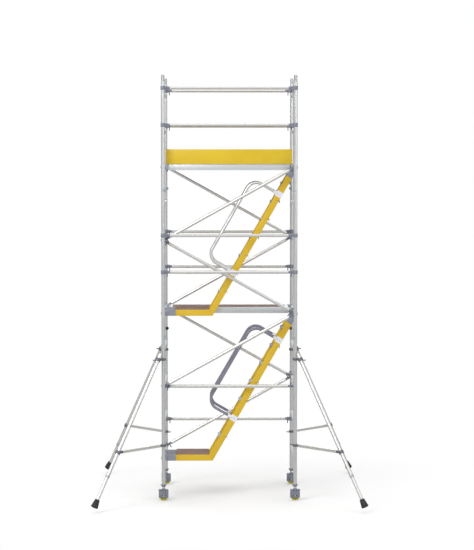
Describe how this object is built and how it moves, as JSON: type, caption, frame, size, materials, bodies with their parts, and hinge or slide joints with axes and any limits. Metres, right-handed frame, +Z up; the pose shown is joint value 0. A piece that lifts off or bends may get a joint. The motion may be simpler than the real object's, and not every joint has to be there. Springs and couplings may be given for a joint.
{
  "type": "mobile tower scaffold",
  "caption": "Aluminium mobile scaffold tower on braked castors, with stair flights, platforms, hatch, guardrails, toe boards and stabilisers.",
  "frame": {"origin": "centre of the tower on the floor, level with the bottom of the castor wheels", "axes": "+X along the tower towards the head of the stairs, +Y across the tower towards the full-length platforms, +Z up"},
  "size_m": [3.673, 3.491, 5.805],
  "materials": {
    "tube_aluminium": "mill-finish extruded tube",
    "brace_aluminium": "bright extruded tube",
    "spigot_aluminium": "machined, slightly worn",
    "beam_aluminium": "extruded beam, satin",
    "tread_aluminium": "ribbed extrusion",
    "cast_alloy": "blue-grey powder-coated casting",
    "hook_alloy": "light grey cast alloy",
    "dark_steel": "dark zinc-coated steel",
    "black_plastic": "moulded nylon",
    "red_plastic": "moulded pedal",
    "deck_ply": "phenolic-faced non-slip plywood",
    "yellow_paint": "satin yellow powder coat",
    "board_yellow": "yellow painted board",
    "rail_grey": "blue-grey powder-coated tube",
    "bracket_white": "off-white moulded bracket",
    "rubber": "black moulded rubber",
    "castor_polymer": "olive-yellow polyurethane wheel"
  },
  "bodies": {
    "root": {"base_frame_left": "tube_aluminium", "base_frame_right": "tube_aluminium", "middle_frame_left": "tube_aluminium", "middle_frame_right": "tube_aluminium", "top_frame_left": "tube_aluminium", "top_frame_right": "tube_aluminium", "frame_spigots": "spigot_aluminium", "interlock_clips": "black_plastic", "horizontal_braces": "brace_aluminium", "diagonal_braces": "brace_aluminium", "brace_claws": "cast_alloy", "claw_triggers": "dark_steel", "deck_platform_frames": "beam_aluminium", "hatch_platform_frame": "beam_aluminium", "platform_decks": "deck_ply", "platform_hooks": "hook_alloy", "lower_stair_stringers": "yellow_paint", "upper_stair_stringers": "yellow_paint", "stair_treads": "tread_aluminium", "stair_landings": "deck_ply", "stair_hooks": "cast_alloy", "lower_handrails": "rail_grey", "upper_handrails": "brace_aluminium", "handrail_brackets": "bracket_white", "long_toe_boards": "board_yellow", "end_toe_boards": "board_yellow", "toe_board_clips": "beam_aluminium"},
    "hatch": {"hatch_panel": "deck_ply"},
    "leg_front_left": {"adjustable_leg_front_left": "tube_aluminium"},
    "nut_front_left": {"leg_nut_front_left": "cast_alloy"},
    "castor_front_left": {"castor_fork_front_left": "cast_alloy"},
    "wheel_front_left": {"castor_wheel_front_left": "castor_polymer"},
    "pedal_front_left": {"brake_pedal_front_left": "red_plastic"},
    "stabiliser_front_left": {"stabiliser_front_left": "brace_aluminium"},
    "stabiliser_leg_front_left": {"stabiliser_leg_front_left": "brace_aluminium", "stabiliser_foot_front_left": "rubber"},
    "leg_front_right": {"adjustable_leg_front_right": "tube_aluminium"},
    "nut_front_right": {"leg_nut_front_right": "cast_alloy"},
    "castor_front_right": {"castor_fork_front_right": "cast_alloy"},
    "wheel_front_right": {"castor_wheel_front_right": "castor_polymer"},
    "pedal_front_right": {"brake_pedal_front_right": "red_plastic"},
    "stabiliser_front_right": {"stabiliser_front_right": "brace_aluminium"},
    "stabiliser_leg_front_right": {"stabiliser_leg_front_right": "brace_aluminium", "stabiliser_foot_front_right": "rubber"},
    "leg_back_left": {"adjustable_leg_back_left": "tube_aluminium"},
    "nut_back_left": {"leg_nut_back_left": "cast_alloy"},
    "castor_back_left": {"castor_fork_back_left": "cast_alloy"},
    "wheel_back_left": {"castor_wheel_back_left": "castor_polymer"},
    "pedal_back_left": {"brake_pedal_back_left": "red_plastic"},
    "stabiliser_back_left": {"stabiliser_back_left": "brace_aluminium"},
    "stabiliser_leg_back_left": {"stabiliser_leg_back_left": "brace_aluminium", "stabiliser_foot_back_left": "rubber"},
    "leg_back_right": {"adjustable_leg_back_right": "tube_aluminium"},
    "nut_back_right": {"leg_nut_back_right": "cast_alloy"},
    "castor_back_right": {"castor_fork_back_right": "cast_alloy"},
    "wheel_back_right": {"castor_wheel_back_right": "castor_polymer"},
    "pedal_back_right": {"brake_pedal_back_right": "red_plastic"},
    "stabiliser_back_right": {"stabiliser_back_right": "brace_aluminium"},
    "stabiliser_leg_back_right": {"stabiliser_leg_back_right": "brace_aluminium", "stabiliser_foot_back_right": "rubber"}
  },
  "joints": [
    {"name": "hatch_hinge", "type": "hinge", "parent": "root", "child": "hatch", "pos_m": [0, -0.543, 4.6055], "axis": [1, 0, 0], "range_deg": [0, 95]},
    {"name": "leg_slide_front_left", "type": "slide", "parent": "root", "child": "leg_front_left", "axis": [0, 0, -1], "range_m": [0, 0.25]},
    {"name": "nut_turn_front_left", "type": "hinge", "parent": "root", "child": "nut_front_left", "pos_m": [-0.9, -0.7, 0.2], "axis": [0, 0, 1], "range_deg": [0, 9001]},
    {"name": "castor_swivel_front_left", "type": "hinge", "parent": "leg_front_left", "child": "castor_front_left", "pos_m": [-0.9, -0.7, 0.165], "axis": [0, 0, 1], "continuous": true},
    {"name": "wheel_spin_front_left", "type": "hinge", "parent": "castor_front_left", "child": "wheel_front_left", "pos_m": [-0.9, -0.7, 0.0625], "axis": [0, 1, 0], "continuous": true},
    {"name": "brake_pedal_front_left", "type": "hinge", "parent": "castor_front_left", "child": "pedal_front_left", "pos_m": [-0.947, -0.7, 0.136], "axis": [0, 1, 0], "range_deg": [0, 20]},
    {"name": "stabiliser_swing_front_left", "type": "hinge", "parent": "root", "child": "stabiliser_front_left", "pos_m": [-0.9, -0.7, 1], "axis": [0, 0, 1], "range_deg": [-42, 42]},
    {"name": "stabiliser_leg_slide_front_left", "type": "slide", "parent": "stabiliser_front_left", "child": "stabiliser_leg_front_left", "axis": [-0.3673, -0.4127, -0.8335], "range_m": [-0.3, 0.058]},
    {"name": "leg_slide_front_right", "type": "slide", "parent": "root", "child": "leg_front_right", "axis": [0, 0, -1], "range_m": [0, 0.25]},
    {"name": "nut_turn_front_right", "type": "hinge", "parent": "root", "child": "nut_front_right", "pos_m": [0.9, -0.7, 0.2], "axis": [0, 0, 1], "range_deg": [0, 9001]},
    {"name": "castor_swivel_front_right", "type": "hinge", "parent": "leg_front_right", "child": "castor_front_right", "pos_m": [0.9, -0.7, 0.165], "axis": [0, 0, 1], "continuous": true},
    {"name": "wheel_spin_front_right", "type": "hinge", "parent": "castor_front_right", "child": "wheel_front_right", "pos_m": [0.9, -0.7, 0.0625], "axis": [0, 1, 0], "continuous": true},
    {"name": "brake_pedal_front_right", "type": "hinge", "parent": "castor_front_right", "child": "pedal_front_right", "pos_m": [0.947, -0.7, 0.136], "axis": [0, -1, 0], "range_deg": [0, 20]},
    {"name": "stabiliser_swing_front_right", "type": "hinge", "parent": "root", "child": "stabiliser_front_right", "pos_m": [0.9, -0.7, 1], "axis": [0, 0, 1], "range_deg": [-42, 42]},
    {"name": "stabiliser_leg_slide_front_right", "type": "slide", "parent": "stabiliser_front_right", "child": "stabiliser_leg_front_right", "axis": [0.3673, -0.4127, -0.8335], "range_m": [-0.3, 0.058]},
    {"name": "leg_slide_back_left", "type": "slide", "parent": "root", "child": "leg_back_left", "axis": [0, 0, -1], "range_m": [0, 0.25]},
    {"name": "nut_turn_back_left", "type": "hinge", "parent": "root", "child": "nut_back_left", "pos_m": [-0.9, 0.7, 0.2], "axis": [0, 0, 1], "range_deg": [0, 9001]},
    {"name": "castor_swivel_back_left", "type": "hinge", "parent": "leg_back_left", "child": "castor_back_left", "pos_m": [-0.9, 0.7, 0.165], "axis": [0, 0, 1], "continuous": true},
    {"name": "wheel_spin_back_left", "type": "hinge", "parent": "castor_back_left", "child": "wheel_back_left", "pos_m": [-0.9, 0.7, 0.0625], "axis": [0, 1, 0], "continuous": true},
    {"name": "brake_pedal_back_left", "type": "hinge", "parent": "castor_back_left", "child": "pedal_back_left", "pos_m": [-0.947, 0.7, 0.136], "axis": [0, 1, 0], "range_deg": [0, 20]},
    {"name": "stabiliser_swing_back_left", "type": "hinge", "parent": "root", "child": "stabiliser_back_left", "pos_m": [-0.9, 0.7, 1], "axis": [0, 0, 1], "range_deg": [-42, 42]},
    {"name": "stabiliser_leg_slide_back_left", "type": "slide", "parent": "stabiliser_back_left", "child": "stabiliser_leg_back_left", "axis": [-0.3673, 0.4127, -0.8335], "range_m": [-0.3, 0.058]},
    {"name": "leg_slide_back_right", "type": "slide", "parent": "root", "child": "leg_back_right", "axis": [0, 0, -1], "range_m": [0, 0.25]},
    {"name": "nut_turn_back_right", "type": "hinge", "parent": "root", "child": "nut_back_right", "pos_m": [0.9, 0.7, 0.2], "axis": [0, 0, 1], "range_deg": [0, 9001]},
    {"name": "castor_swivel_back_right", "type": "hinge", "parent": "leg_back_right", "child": "castor_back_right", "pos_m": [0.9, 0.7, 0.165], "axis": [0, 0, 1], "continuous": true},
    {"name": "wheel_spin_back_right", "type": "hinge", "parent": "castor_back_right", "child": "wheel_back_right", "pos_m": [0.9, 0.7, 0.0625], "axis": [0, 1, 0], "continuous": true},
    {"name": "brake_pedal_back_right", "type": "hinge", "parent": "castor_back_right", "child": "pedal_back_right", "pos_m": [0.947, 0.7, 0.136], "axis": [0, -1, 0], "range_deg": [0, 20]},
    {"name": "stabiliser_swing_back_right", "type": "hinge", "parent": "root", "child": "stabiliser_back_right", "pos_m": [0.9, 0.7, 1], "axis": [0, 0, 1], "range_deg": [-42, 42]},
    {"name": "stabiliser_leg_slide_back_right", "type": "slide", "parent": "stabiliser_back_right", "child": "stabiliser_leg_back_right", "axis": [0.3673, 0.4127, -0.8335], "range_m": [-0.3, 0.058]}
  ],
  "couplings": [
    {"joint": "nut_turn_front_left", "follows": "leg_slide_front_left", "rad_per_m": 628.32},
    {"joint": "nut_turn_front_right", "follows": "leg_slide_front_right", "rad_per_m": 628.32},
    {"joint": "nut_turn_back_left", "follows": "leg_slide_back_left", "rad_per_m": 628.32},
    {"joint": "nut_turn_back_right", "follows": "leg_slide_back_right", "rad_per_m": 628.32}
  ]
}
